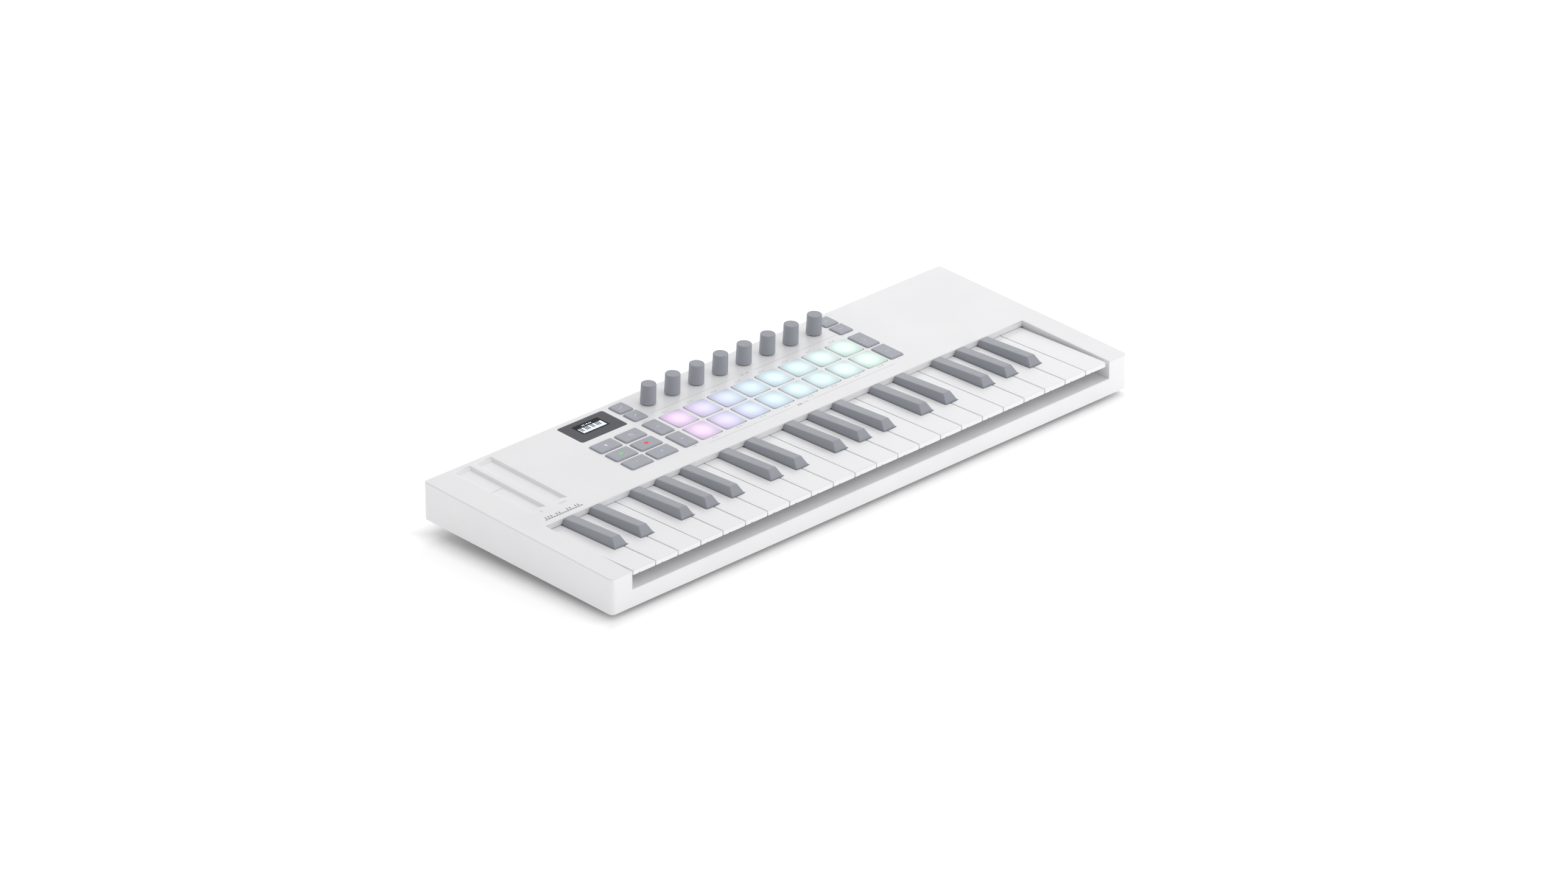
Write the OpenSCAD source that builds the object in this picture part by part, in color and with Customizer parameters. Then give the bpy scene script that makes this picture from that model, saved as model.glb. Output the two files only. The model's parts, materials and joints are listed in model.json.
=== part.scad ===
// Slim 37-key controller keyboard: mini keys, touch strips, small display,
// soft buttons, sixteen pads and eight endless encoders in a white shell.
// Local frame used by the modules: u from the left face, y from the front face,
// z up from the table. The finished part is centred on x and y.

/* [Case] */
// Width of the case across both end cheeks
case_w = 480.1; // [479:0.1:482]
// Depth of the case from front face to rear face
case_d = 176.8; // [174:0.1:182]
// Height of the front top edge over the table
front_top_z = 29.1; // [28.5:0.1:30]
// Slope of the top face, rising to the rear
top_tilt = 2.8; // [2.6:0.1:3]
// Height of the shell's bottom edge over the table at the front
front_base_z = 3.8; // [3.5:0.1:4.4]
// Slope of the shell's bottom edge, rising to the rear
base_tilt = 2.2; // [1.8:0.1:2.4]
// Width of each end cheek beside the keys
cheek_w = 18.3; // [17:0.1:19]
// Radius of the upright case corners
corner_r = 3.4; // [3:0.1:6]
// Thickness of the shell's walls and top
wall = 2.2; // [1.8:0.1:2.4]
// Height of the flat ledge in front of and below the keys
ledge_z = 16.3; // [15:0.1:17]

/* [Keys] */
// Distance from one white key to the next
key_pitch = 20; // [19.9:0.05:20.1]
// Gap between two white keys
key_gap = 0.8; // [0.5:0.1:1]
// Height of the white keys' top over the table
white_top_z = 28.7; // [28.4:0.1:29]
// Thickness of a white key at its front lip
lip_h = 3.3; // [2.8:0.1:3.6]
// Distance of the white keys' front from the case's front face
key_front_y = 1.5; // [0.6:0.1:2]
// Distance of the key well's rear wall from the front face
well_y = 80.6; // [79:0.1:81]
// Width of a black key at the white keys' top
black_w = 11.1; // [10:0.1:11.5]
// Height of a black key's front edge over the white keys
black_h = 5.75; // [5:0.05:6.5]
// Distance of a black key's front foot from the front face
black_front_y = 31.4; // [30:0.1:32]
// Full press of a key
key_dip_deg = 3.4; // [2:0.1:3.4]

/* [Panel] */
// Size of one pad along the keyboard
pad_w = 18.7; // [18:0.1:19.2]
// Size of one pad from front to rear
pad_d = 19.4; // [18.6:0.1:19.6]
// Distance from one pad or encoder to the next
control_pitch = 22.15; // [22:0.05:22.2]
// Distance from the front pad row to the rear pad row
pad_row_pitch = 22.35; // [22:0.05:22.5]
// Height that the pads stand over the panel
pad_proud = 0.6; // [0.4:0.1:1]
// Height that the buttons stand over the panel
button_proud = 1; // [0.6:0.1:1.4]
// Travel of the buttons
button_travel = 0.8; // [0.4:0.1:0.9]
// Radius of an encoder cap at its foot
knob_r = 5.45; // [5:0.05:5.6]
// Height of an encoder cap
knob_h = 14.3; // [13:0.1:15]

/* [Hidden] */
$fn = 48;
EPS = 0.01;
FAR = 600;

// Case levels
cheek_in = case_w - cheek_w;
rear_top_z = front_top_z + case_d * tan(top_tilt);
rear_base_z = front_base_z + case_d * tan(base_tilt);
floor_t = 2;
ledge_d = 24;
well_wall_z = white_top_z + 0.35;
case_corner_rear_r = 3;

// Key layout
WHITES = 22;
BLACKS = 15;
WHITE_LETTERS = ["c", "d", "e", "f", "g", "a", "b"];
BLACK_LETTERS = ["c", "d", "f", "g", "a"];
// Number of white keys left of each black key in an octave, and its shift from the gap
BLACK_GAPS = [1, 2, 4, 5, 6];
BLACK_SHIFTS = [-2, 1.4, -2.7, 0, 2.7];
keys_u = (case_w - WHITES * key_pitch) / 2;
black_clear = 0.7;
black_top_w = 7.1;
black_rear_h = 4.2;
black_rear_y = well_y - 0.35;
black_foot_h = 1.2;
black_slant = 4.7;
cut_front_y = black_front_y - 0.6;

// Key action
pivot_y = 112;
pivot_z = 23.6;
ridge_r = 0.8;
ridge_clear = 0.08;
tail_y = 68;
tail_end_y = 117;
tail_z = [21.5, 25.5];
stem_y = [57, 63];
stem_z = 22;
ridge_half_deg = 25;
groove_half_deg = 32;
frame_z = [12.6, 14.6];
frame_y = [26, 121];
board_t = 1.6;
press_clear = 0.4;
// The rubber domes end just below the keys' stems at full press
dome_top_z = stem_z - (pivot_y - stem_y[0]) * tan(key_dip_deg) - press_clear;

// Panel levels along the panel's own normal
mat_top_n = -2.6;
mat_t = 1.2;
// The board lies just below the mats at full press
main_board_n = mat_top_n - mat_t - button_travel - press_clear;
cap_clear = 0.3;

// Panel layout in the panel's own plane
pads_u = 185.7;
pad_front_v = 108.8;
knobs_v = 160.4;
PADS = 8;
KNOBS = 8;
small_button = [12, 12];
wide_button = [19.3, 12];
tall_button = [12, 19.5];
grid_u = [122.2, 144.5];
grid_v = [104.4, 119.1, 134];
left_column_u = 166.3;
right_column_u = 358.6;
small_v = [152.2, 166.2];
tall_v = [108.3, 130.6];
window_u = 113.8;
window_v = 147.5;
window_size = [41.4, 25.2];
window_seat = 1.3;
STRIPS_U = [22.6, 41.4];
strip_v = 99.8;
strip_size = [14.2, 72.5];
strip_depth = 1.8;
strip_side_bevel = 1.4;
strip_front_bevel = 4.4;
strip_rear_bevel = 2.4;

// Sockets in the rear wall
usb_u = 70;
midi_u = 95;
pedal_u = 122;
lock_u = 440;
io_board_z = 14.9;
io_top_z = io_board_z + board_t;
usb_size = [9, 7.5, 3.2];
midi_bore_r = 1.8;
midi_z = io_top_z + 3.6;
pedal_bore_r = 3.25;
pedal_z = io_top_z + 6.2;
solder = 0.05;

// Screws, feet and bosses: u and y of each
SCREWS = [
    [9, 14], [case_w - 9, 14], [9, 166], [case_w - 9, 166],
    [90, 12], [case_w / 2, 12], [390, 12],
    [178, 168], [case_w / 2, 168], [380, 168]
];
boss_r = 3.2;
pilot_r = 1.25;
screw_r = 1.2;
screw_head_r = 2.6;
screw_len = 8.6;
FEET = [[30, 20], [case_w - 30, 20], [30, case_d - 20], [case_w - 30, case_d - 20]];
foot_r = 7.5;
foot_flare = 1;
foot_stud_r = 3;

// Names of the keys and encoders, from left to right
function white_name(i) = str("white_key_", WHITE_LETTERS[i % 7], floor(i / 7) + 1);
function black_name(j) = str("black_key_", BLACK_LETTERS[j % 5], "_sharp_", floor(j / 5) + 1);
function knob_name(k) = str("encoder_knob_", k + 1);

CASE_NODES = [
    "top_case", "bottom_case", "key_frame", "key_contact_board", "rubber_contact_strip",
    "main_board", "display_window", "display_module", "touch_strips", "rear_sockets",
    "rubber_feet", "case_screws", "pad_mat", "left_button_mat", "right_button_mat"
];

// Heights of the sloped top and base planes over the table
function top_z(y) = front_top_z + y * tan(top_tilt);
function base_z(y) = front_base_z + y * tan(base_tilt);

// Key positions
function white_u(i) = keys_u + i * key_pitch;
function black_u(j) = keys_u + (floor(j / 5) * 7 + BLACK_GAPS[j % 5]) * key_pitch + BLACK_SHIFTS[j % 5];
// Half of a black key with the free space beside it
black_room = black_w / 2 + black_clear;
// Black keys that reach into white key i
function black_neighbours(i) = [
    for (j = [0 : BLACKS - 1])
        if (abs(black_u(j) - white_u(i) - key_pitch / 2) < key_pitch / 2 + black_room) black_u(j)
];
// Left and right edge of the narrow part of white key i
function tail_left(i) = max(concat(
    [white_u(i) + key_gap / 2],
    [for (b = black_neighbours(i)) if (b < white_u(i) + key_pitch / 2) b + black_room]
));
function tail_right(i) = min(concat(
    [white_u(i) + key_pitch - key_gap / 2],
    [for (b = black_neighbours(i)) if (b > white_u(i) + key_pitch / 2) b - black_room]
));
function white_stem_u(i) = (tail_left(i) + tail_right(i)) / 2;

// Puts children drawn in the local frame onto the centred part
module placed() {
    translate([-case_w / 2, -case_d / 2, 0]) children();
}

// Frame of the sloped panel: u, distance up the slope, height along the normal
module on_panel() {
    placed() translate([0, 0, front_top_z]) rotate([top_tilt, 0, 0]) children();
}

// Bar along u with the outline given as [y, z] points
module bar_u(u0, u1, points) {
    translate([u0, 0, 0]) rotate([90, 0, 90]) linear_extrude(u1 - u0) polygon(points);
}

// Block from one corner to the other
module block(low, high) {
    translate(low) cube(high - low);
}

// Rectangle with rounded corners of one radius
module rounded_rect(size, r) {
    translate([r, 0]) square([size[0] - 2 * r, size[1]]);
    translate([0, r]) square([size[0], size[1] - 2 * r]);
    for (x = [r, size[0] - r], y = [r, size[1] - r]) translate([x, y]) circle(r);
}

// Plan of the case, with its own radius at the front and the rear corners
module case_plan() {
    rf = corner_r;
    rr = case_corner_rear_r;
    translate([rf, 0]) square([case_w - 2 * rf, case_d - rr]);
    translate([0, rf]) square([case_w, case_d - rf - rr]);
    translate([rr, rf]) square([case_w - 2 * rr, case_d - rf]);
    for (x = [rf, case_w - rf]) translate([x, rf]) circle(rf);
    for (x = [rr, case_w - rr]) translate([x, case_d - rr]) circle(rr);
}

// Room inside the shell below the sloped top, from y0 to y1
module inner_room(u0, u1, y0, y1) {
    bar_u(u0, u1, [
        [y0, base_z(y0) - 1], [y1, base_z(y1) - 1],
        [y1, top_z(y1) - wall], [y0, top_z(y0) - wall]
    ]);
}

// Outline of one pad, button or window, centred, with cut corners
module cap_plan(size, corner) {
    w = size[0] / 2;
    d = size[1] / 2;
    polygon([
        [-w + corner, -d], [w - corner, -d], [w, -d + corner], [w, d - corner],
        [w - corner, d], [-w + corner, d], [-w, d - corner], [-w, -d + corner]
    ]);
}

function grow(size, by) = [size[0] + 2 * by, size[1] + 2 * by];

// Places of the pads and buttons
module at_pads() {
    for (i = [0 : PADS - 1], row = [0, 1])
        translate([pads_u + i * control_pitch, pad_front_v + row * pad_row_pitch]) children();
}

module at_grid_buttons() {
    for (u = grid_u, v = grid_v) translate([u, v]) children();
}

module at_small_buttons(u) {
    for (v = small_v) translate([u, v]) children();
}

module at_tall_buttons(u) {
    for (v = tall_v) translate([u, v]) children();
}

module at_knobs() {
    for (k = [0 : KNOBS - 1]) translate([pads_u + k * control_pitch, knobs_v]) children();
}

// Flared recess of one touch strip, cut down through the panel
module strip_recess(u) {
    v0 = strip_v;
    v1 = strip_v + strip_size[1];
    u1 = u + strip_size[0];
    depth = strip_depth;
    intersection() {
        bar_u(u - 1, u1 + 1, [
            [v0, 0], [v0 - strip_front_bevel, depth], [v1 + strip_rear_bevel, depth], [v1, 0],
            [v1 - strip_rear_bevel, -depth], [v1 - strip_rear_bevel, -FAR / 10],
            [v0 + strip_front_bevel, -FAR / 10], [v0 + strip_front_bevel, -depth]
        ]);
        translate([0, v1 + 1, 0]) rotate([90, 0, 0]) linear_extrude(strip_size[1] + 2) polygon([
            [u, 0], [u - strip_side_bevel, depth], [u1 + strip_side_bevel, depth], [u1, 0],
            [u1 - strip_side_bevel, -depth], [u1 - strip_side_bevel, -FAR / 10],
            [u + strip_side_bevel, -FAR / 10], [u + strip_side_bevel, -depth]
        ]);
    }
}

// Everything that opens the panel for the controls
module panel_openings() {
    translate([0, 0, -wall - 2]) linear_extrude(wall + 4) {
        at_pads() cap_plan(grow([pad_w, pad_d], cap_clear), 1);
        at_grid_buttons() cap_plan(grow(wide_button, cap_clear), 1);
        at_small_buttons(left_column_u) cap_plan(grow(small_button, cap_clear), 1);
        at_small_buttons(right_column_u) cap_plan(grow(small_button, cap_clear), 1);
        at_tall_buttons(left_column_u) cap_plan(grow(tall_button, cap_clear), 1);
        at_tall_buttons(right_column_u) cap_plan(grow(tall_button, cap_clear), 1);
    }
    at_knobs() translate([0, 0, -wall - 1]) cylinder(r = 3.7, h = wall + 2);
    // Seat of the display window, with a smaller opening below it
    translate([window_u, window_v, -window_seat])
        linear_extrude(window_seat + 1) rounded_rect(window_size, 2);
    translate([window_u + 5.5, window_v + 3, -wall - 1])
        cube([window_size[0] - 11, window_size[1] - 6, wall + 1]);
    for (u = STRIPS_U) strip_recess(u);
}

// Posts with a pilot hole for the screws that come up from below
module screw_bosses() {
    difference() {
        intersection() {
            union() for (s = SCREWS) translate([s[0], s[1], 0]) cylinder(r = boss_r, h = 50);
            union() {
                bar_u(0, case_w, [
                    [ledge_d, base_z(ledge_d) + floor_t], [case_d, rear_base_z + floor_t],
                    [case_d, rear_top_z - wall / 2], [ledge_d, top_z(ledge_d) - wall / 2]
                ]);
                bar_u(0, cheek_w, [
                    [0, front_base_z + floor_t], [ledge_d, base_z(ledge_d) + floor_t],
                    [ledge_d, top_z(ledge_d) - wall / 2], [0, front_top_z - wall / 2]
                ]);
                bar_u(cheek_in, case_w, [
                    [0, front_base_z + floor_t], [ledge_d, base_z(ledge_d) + floor_t],
                    [ledge_d, top_z(ledge_d) - wall / 2], [0, front_top_z - wall / 2]
                ]);
                bar_u(cheek_w, cheek_in, [
                    [0, front_base_z + floor_t], [ledge_d, base_z(ledge_d) + floor_t],
                    [ledge_d, ledge_z - wall / 2], [0, ledge_z - wall / 2]
                ]);
            }
        }
        for (s = SCREWS)
            translate([s[0], s[1], base_z(s[1])]) cylinder(r = pilot_r, h = screw_len + 1.2);
    }
}

// Holes in the rear wall for the sockets and the lock slot
module rear_wall_holes() {
    y = case_d - wall - 1;
    translate([usb_u - 5, y, io_top_z - 0.2]) cube([10, wall + 2, usb_size[2] + 0.4]);
    translate([midi_u, y, midi_z]) rotate([-90, 0, 0]) cylinder(r = 3.3, h = wall + 2);
    translate([pedal_u, y, pedal_z]) rotate([-90, 0, 0]) cylinder(r = 5.7, h = wall + 2);
    translate([lock_u - 3.5, y, 22]) cube([7, wall + 2, 3]);
}

module top_case() {
    color("white") {
        placed() difference() {
            intersection() {
                linear_extrude(60) case_plan();
                bar_u(0, case_w, [
                    [0, front_base_z], [case_d, rear_base_z], [case_d, rear_top_z], [0, front_top_z]
                ]);
            }
            // Rooms inside the cheeks, behind the keys and below the ledge
            inner_room(wall, cheek_w - wall, wall, case_d - wall);
            inner_room(cheek_in + wall, case_w - wall, wall, case_d - wall);
            inner_room(wall, case_w - wall, well_y + wall, case_d - wall);
            bar_u(cheek_w, cheek_in, [
                [wall, 0], [well_y + wall + 1, 0], [well_y + wall + 1, well_wall_z], [ledge_d, well_wall_z],
                [ledge_d, ledge_z - wall], [wall, ledge_z - wall]
            ]);
            // Seat of the bottom case between the outer walls
            bar_u(wall, case_w - wall, [
                [wall, 0], [case_d - wall, 0],
                [case_d - wall, base_z(case_d - wall) + floor_t], [wall, base_z(wall) + floor_t]
            ]);
            // Key well, open at the front over the ledge
            block([cheek_w, -1, ledge_z], [cheek_in, well_y, 60]);
            rear_wall_holes();
            translate([0, 0, front_top_z]) rotate([top_tilt, 0, 0]) panel_openings();
        }
        placed() screw_bosses();
        // Spacers that carry the main board
        on_panel() for (u = [104, 368], v = [94, 162])
            translate([u, v, main_board_n]) cylinder(r = 2.5, h = -main_board_n - wall / 2);
    }
}

module bottom_case() {
    color("whitesmoke") placed() difference() {
        union() {
            // Floor inside the shell's walls
            intersection() {
                block([wall + 0.2, wall + 0.2, 0], [case_w - wall - 0.2, case_d - wall - 0.2, 40]);
                bar_u(0, case_w, [
                    [0, front_base_z], [case_d, rear_base_z],
                    [case_d, rear_base_z + floor_t], [0, front_base_z + floor_t]
                ]);
            }
            // Stiffening ribs on the inside, clear of the key frame's legs
            for (u = [65, 190, 290, 415])
                bar_u(u, u + 1.6, [
                    [30, base_z(30) + 1], [110, base_z(110) + 1],
                    [110, base_z(110) + floor_t + 1.2], [30, base_z(30) + floor_t + 1.2]
                ]);
        }
        for (f = FEET) translate([f[0], f[1], 0]) cylinder(r = foot_stud_r + 0.1, h = 40);
        for (s = SCREWS) translate([s[0], s[1], 0]) {
            cylinder(r = 1.6, h = 40);
            cylinder(r = screw_head_r + 0.3, h = base_z(s[1]) + 1);
        }
    }
}

// Round rod along the keys' common axis
module pivot_rod(u0, u1, r) {
    translate([u0, pivot_y, pivot_z]) rotate([0, 90, 0]) cylinder(r = r, h = u1 - u0);
}

module key_frame() {
    color("dimgray") placed() {
        // Bed plate, with a wider part behind the key well
        block([cheek_w + 0.6, frame_y[0], frame_z[0]], [cheek_in - 0.6, frame_y[1], frame_z[1]]);
        block([14, well_y + 4, frame_z[0]], [case_w - 14, frame_y[1], frame_z[1]]);
        // Ridge with a round top that every key rocks on
        reach = (pivot_z - frame_z[1]) * tan(ridge_half_deg);
        bar_u(cheek_w + 0.6, cheek_in - 0.6, [
            [pivot_y - reach, frame_z[1] - EPS], [pivot_y + reach, frame_z[1] - EPS], [pivot_y, pivot_z]
        ]);
        pivot_rod(cheek_w + 0.6, cheek_in - 0.6, ridge_r);
        // Bar over the keys' tails, and its end posts
        block([14, pivot_y - 5, tail_z[1] + 0.45], [case_w - 14, tail_end_y + 1, tail_z[1] + 1.7]);
        for (u = [14, case_w - cheek_w - 1])
            block([u, pivot_y - 5, frame_z[1] - EPS], [u + 5, tail_end_y + 1, tail_z[1] + 1.7]);
        // Legs down to the floor of the bottom case
        for (u = [40, 138.5, case_w / 2 - 1.5, 340, 437])
            bar_u(u, u + 3, [
                [30, base_z(30) + floor_t], [118, base_z(118) + floor_t],
                [118, frame_z[0] + EPS], [30, frame_z[0] + EPS]
            ]);
    }
}

module key_contact_board() {
    color("darkgreen") placed()
        block([cheek_w + 2, 48, frame_z[1]], [cheek_in - 2, 84, frame_z[1] + board_t]);
}

module rubber_contact_strip() {
    base = frame_z[1] + board_t;
    mid_y = (stem_y[0] + stem_y[1]) / 2;
    color("gainsboro") placed() {
        block([cheek_w + 3, mid_y - 6, base], [cheek_in - 3, mid_y + 6, base + 0.8]);
        for (i = [0 : WHITES - 1])
            translate([white_stem_u(i), mid_y, base]) cylinder(r = 3, h = dome_top_z - base, $fn = 8);
        for (j = [0 : BLACKS - 1])
            translate([black_u(j), mid_y, base]) cylinder(r = 3, h = dome_top_z - base, $fn = 8);
    }
}

// Groove across a key's tail, which sits on the round ridge
module pivot_groove(u0, u1) {
    drop = pivot_z - tail_z[0] + 1;
    bar_u(u0, u1, [
        [pivot_y - drop * tan(groove_half_deg), tail_z[0] - 1],
        [pivot_y + drop * tan(groove_half_deg), tail_z[0] - 1],
        [pivot_y, pivot_z]
    ]);
    pivot_rod(u0, u1, ridge_r + ridge_clear);
}

module white_key(i) {
    u0 = white_u(i) + key_gap / 2;
    u1 = white_u(i) + key_pitch - key_gap / 2;
    lip_z = white_top_z - lip_h;
    plate_end = well_y + 1.9;
    color("white") placed() difference() {
        union() {
            block([u0, key_front_y, lip_z], [u1, plate_end, white_top_z]);
            block([tail_left(i), tail_y, tail_z[0]], [tail_right(i), tail_end_y, tail_z[1]]);
            block([white_stem_u(i) - 3, stem_y[0], stem_z], [white_stem_u(i) + 3, stem_y[1], lip_z + EPS]);
        }
        // Room for the black keys on either side
        for (b = black_neighbours(i))
            block([b - black_room, cut_front_y, 0], [b + black_room, FAR, 60]);
        // Guide notch in the bottom of the front lip
        block([u0 + 4.8, 0, lip_z - 1], [u0 + 5.8, key_front_y + 1.2, lip_z + 0.5]);
        pivot_groove(u0 - 1, u1 + 1);
    }
}

module black_key(j) {
    u = black_u(j);
    half = black_w / 2;
    taper = (black_w - black_top_w) / 2 / black_h;
    color("slategray") placed() {
        // Tapered upper part with a slanted front over a short foot
        intersection() {
            translate([u, FAR / 2, white_top_z]) rotate([90, 0, 0]) linear_extrude(FAR) polygon([
                [-half, -1], [half, -1], [half, 0],
                [half - taper * 7, 7], [-half + taper * 7, 7], [-half, 0]
            ]);
            bar_u(u - half, u + half, [
                [black_front_y, white_top_z - 1], [black_rear_y, white_top_z - 1],
                [black_rear_y, white_top_z + black_rear_h],
                [black_front_y + black_slant, white_top_z + black_h],
                [black_front_y + 0.4, white_top_z + black_foot_h], [black_front_y, white_top_z]
            ]);
        }
        difference() {
            union() {
                block(
                    [u - half, black_front_y, stem_z + 0.5],
                    [u + half, black_rear_y, white_top_z - 1 + EPS]
                );
                block([u - half, tail_y, tail_z[0]], [u + half, tail_end_y, tail_z[1]]);
                block([u - 3, stem_y[0], stem_z], [u + 3, stem_y[1], stem_z + 1]);
            }
            pivot_groove(u - half - 1, u + half + 1);
        }
    }
}

module main_board() {
    color("darkgreen") on_panel() {
        translate([100, 90, main_board_n - board_t]) cube([272, 74, board_t]);
        // Encoder bodies, each with a bushing up through the panel
        at_knobs() difference() {
            union() {
                translate([-5.8, -5.8, main_board_n - EPS]) cube([11.6, 10, 2.5]);
                translate([0, 0, main_board_n]) cylinder(r = 3.5, h = 4.4);
            }
            translate([0, 0, main_board_n]) cylinder(r = 3.06, h = 8);
        }
        // Processor and other chips under the board
        for (c = [[180, 130, 10], [230, 133, 7], [290, 128, 6], [330, 136, 8]])
            translate([c[0], c[1], main_board_n - board_t - 1]) cube([c[2], c[2], 1 + EPS]);
    }
}

module display_window() {
    gap = 0.1;
    color("gray") on_panel() translate([window_u + gap, window_v + gap, -window_seat])
        linear_extrude(window_seat + 0.1) rounded_rect(grow(window_size, -gap), 1.9);
}

module display_module() {
    u = window_u + window_size[0] / 2;
    v = window_v + window_size[1] / 2;
    color("black") on_panel() {
        translate([u - 13.4, v - 8.8, -window_seat - 1.6]) cube([26.8, 17.6, 1.5]);
        translate([u - 13.6, v - 9, -window_seat - 2.8]) cube([27.2, 18, 1.25]);
    }
}

// Two sensor strips that form the floors of the touch recesses
module touch_strips() {
    gap = 0.15;
    side = strip_side_bevel + gap;
    color("white") on_panel() for (u = STRIPS_U) {
        translate([u + side, strip_v + strip_front_bevel + gap, -wall - 0.5])
            cube([
                strip_size[0] - 2 * side,
                strip_size[1] - strip_front_bevel - strip_rear_bevel - 2 * gap,
                wall + 0.5 - strip_depth
            ]);
        translate([u - 1, strip_v - 1, -wall - 1.6]) cube([strip_size[0] + 2, strip_size[1] + 2, 1.4]);
    }
}

module rear_sockets() {
    rear = case_d;
    color("dimgray") placed() {
        block([58, 144, io_board_z], [138, rear - wall - 1, io_top_z]);
        // USB socket, open to the rear
        difference() {
            translate([usb_u - usb_size[0] / 2, rear - 0.4 - usb_size[1], io_top_z + solder])
                cube(usb_size);
            translate([usb_u - 4.17, rear - 7, io_top_z + solder + 0.32]) cube([8.34, 8, 2.56]);
        }
        // Tongue inside the USB socket
        translate([usb_u - 3.3, rear - 7.2, io_top_z + solder + 1.25]) cube([6.6, 5.2, 0.7]);
        // Small jack
        difference() {
            union() {
                block(
                    [midi_u - 4, rear - 15, io_top_z + solder],
                    [midi_u + 4, rear - wall - 0.3, io_top_z + 6.6]
                );
                translate([midi_u, rear - 5, midi_z]) rotate([-90, 0, 0]) cylinder(r = 3.1, h = 4.8);
            }
            translate([midi_u, rear - 13, midi_z]) rotate([-90, 0, 0]) cylinder(r = midi_bore_r, h = 20);
        }
        // Large jack
        difference() {
            union() {
                block(
                    [pedal_u - 7, rear - 29, io_top_z + solder],
                    [pedal_u + 7, rear - wall - 0.3, io_top_z + 12.4]
                );
                translate([pedal_u, rear - 5, pedal_z]) rotate([-90, 0, 0]) cylinder(r = 5.5, h = 4.8);
            }
            translate([pedal_u, rear - 27, pedal_z]) rotate([-90, 0, 0]) cylinder(r = pedal_bore_r, h = 40);
        }
    }
}

// Feet that end on the sloped floor, each with a stud pressed up through it
module rubber_feet() {
    color("black") placed() for (f = FEET) {
        intersection() {
            translate([f[0], f[1], 0]) cylinder(r1 = foot_r, r2 = foot_r + foot_flare, h = 15);
            bar_u(0, case_w, [[0, 0], [case_d, 0], [case_d, rear_base_z], [0, front_base_z]]);
        }
        translate([f[0], f[1], base_z(f[1]) - 1]) cylinder(r = foot_stud_r, h = floor_t + 0.6);
    }
}

// Screw with a flat head and a cross recess, head down
module screw() {
    difference() {
        union() {
            cylinder(r = screw_head_r, h = 1);
            cylinder(r = screw_r, h = screw_len + 0.8);
        }
        for (a = [0, 90]) rotate([0, 0, a]) translate([-1.4, -0.3, -1]) cube([2.8, 0.6, 1.6]);
    }
}

module case_screws() {
    color("silver") placed() for (s = SCREWS)
        translate([s[0], s[1], base_z(s[1])]) screw();
}

// Soft cap with a chamfered top, from the mat up to its height over the panel
module soft_cap(size, proud, chamfer) {
    lower = proud - mat_top_n - chamfer;
    steps = 2;
    translate([0, 0, mat_top_n - EPS]) linear_extrude(lower + EPS) cap_plan(size, 1);
    for (s = [1 : steps])
        translate([0, 0, mat_top_n + lower - EPS])
            linear_extrude(chamfer * s / steps + EPS) cap_plan(grow(size, -chamfer * s / steps), 1);
}

// Flat silicone web under a group of caps
module mat_web(u0, u1, v0, v1) {
    translate([u0, v0, mat_top_n - mat_t]) cube([u1 - u0, v1 - v0, mat_t]);
}

module pad_mat() {
    last_u = pads_u + (PADS - 1) * control_pitch;
    color("lavender") on_panel() {
        mat_web(
            pads_u - pad_w / 2 - 1, last_u + pad_w / 2 + 1,
            pad_front_v - pad_d / 2 - 1, pad_front_v + pad_row_pitch + pad_d / 2 + 1
        );
        at_pads() soft_cap([pad_w, pad_d], pad_proud, 0.3);
    }
}

module left_button_mat() {
    color("darkgray") on_panel() {
        mat_web(grid_u[0] - 10.5, left_column_u + 6.8, grid_v[0] - 7, grid_v[2] + 7);
        mat_web(left_column_u - 6.8, left_column_u + 6.8, tall_v[0] - 10.5, small_v[1] + 7);
        at_grid_buttons() soft_cap(wide_button, button_proud, 0.4);
        at_small_buttons(left_column_u) soft_cap(small_button, button_proud, 0.4);
        at_tall_buttons(left_column_u) soft_cap(tall_button, button_proud, 0.4);
    }
}

module right_button_mat() {
    color("darkgray") on_panel() {
        mat_web(right_column_u - 6.8, right_column_u + 6.8, tall_v[0] - 10.5, small_v[1] + 7);
        at_small_buttons(right_column_u) soft_cap(small_button, button_proud, 0.4);
        at_tall_buttons(right_column_u) soft_cap(tall_button, button_proud, 0.4);
    }
}

// Encoder cap with its flatted spindle
module encoder_knob(k) {
    color("gray") on_panel() translate([pads_u + k * control_pitch, knobs_v, 0]) {
        difference() {
            translate([0, 0, 0.3]) cylinder(r1 = knob_r, r2 = knob_r - 0.25, h = knob_h);
            translate([0, 0, 0.2]) cylinder(r = 4.2, h = 2);
            translate([0, 0, 0.2]) flatted_spindle(3.02, 10.8);
        }
        translate([0, 0, main_board_n + 0.2]) flatted_spindle(3, 15.7);
    }
}

// Round rod with a flat on its upper half
module flatted_spindle(r, h) {
    difference() {
        cylinder(r = r, h = h);
        translate([-r, r - 1.5, h - 7]) cube([2 * r, 2, 8]);
    }
}

top_case();
bottom_case();
key_frame();
key_contact_board();
rubber_contact_strip();
main_board();
display_window();
display_module();
touch_strips();
rear_sockets();
rubber_feet();
case_screws();
pad_mat();
left_button_mat();
right_button_mat();
for (i = [0 : WHITES - 1]) white_key(i);
for (j = [0 : BLACKS - 1]) black_key(j);
for (k = [0 : KNOBS - 1]) encoder_knob(k);
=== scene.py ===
import json
import math

import bmesh
import bpy
from mathutils import Matrix, Vector


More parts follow.
